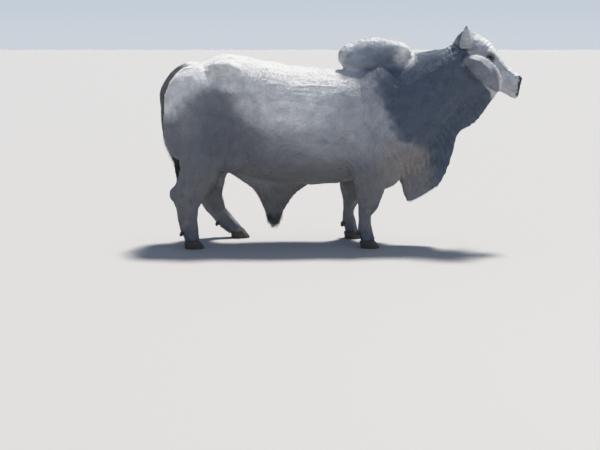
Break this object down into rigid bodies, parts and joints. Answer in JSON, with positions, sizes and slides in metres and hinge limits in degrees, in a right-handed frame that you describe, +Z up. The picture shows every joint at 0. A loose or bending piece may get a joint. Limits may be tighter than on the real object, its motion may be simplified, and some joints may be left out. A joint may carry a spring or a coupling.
{
  "type": "brahman bull",
  "caption": "Life-size still model of a grey Brahman bull standing with its head up, with a hump, dewlap, hanging ears, sheath and tail.",
  "frame": {"origin": "on the floor under the middle of the bull's bounding box", "axes": "+X towards the muzzle, +Y to the bull's left, +Z up"},
  "size_m": [2.8142, 0.7, 1.694],
  "materials": {
    "coat_light": "short light grey coat, nearly white on the back and rump",
    "coat_dark": "short slate grey coat of the hump, neck, dewlap and head",
    "switch_hair": "long dark hair",
    "horn": "dull ringed horn",
    "hoof": "dark dull hoof horn",
    "eye": "wet dark brown"
  },
  "bodies": {
    "root": {"dewclaw_foreleg_left_inner": "hoof", "dewclaw_foreleg_left_outer": "hoof", "dewclaw_foreleg_right_inner": "hoof", "dewclaw_foreleg_right_outer": "hoof", "dewclaw_hindleg_left_inner": "hoof", "dewclaw_hindleg_left_outer": "hoof", "dewclaw_hindleg_right_inner": "hoof", "dewclaw_hindleg_right_outer": "hoof", "dewlap": "coat_dark", "ear_left": "coat_dark", "ear_right": "coat_dark", "eye_left": "eye", "eye_right": "eye", "foreleg_left": "coat_light", "foreleg_right": "coat_light", "head": "coat_dark", "hindleg_left": "coat_light", "hindleg_right": "coat_light", "hoof_foreleg_left_inner": "hoof", "hoof_foreleg_left_outer": "hoof", "hoof_foreleg_right_inner": "hoof", "hoof_foreleg_right_outer": "hoof", "hoof_hindleg_left_inner": "hoof", "hoof_hindleg_left_outer": "hoof", "hoof_hindleg_right_inner": "hoof", "hoof_hindleg_right_outer": "hoof", "horn_left": "horn", "horn_right": "horn", "hump": "coat_dark", "neck": "coat_dark", "scrotum": "coat_light", "sheath": "coat_light", "tail": "coat_light", "tail_switch": "switch_hair", "trunk": "coat_light"}
  },
  "joints": []
}
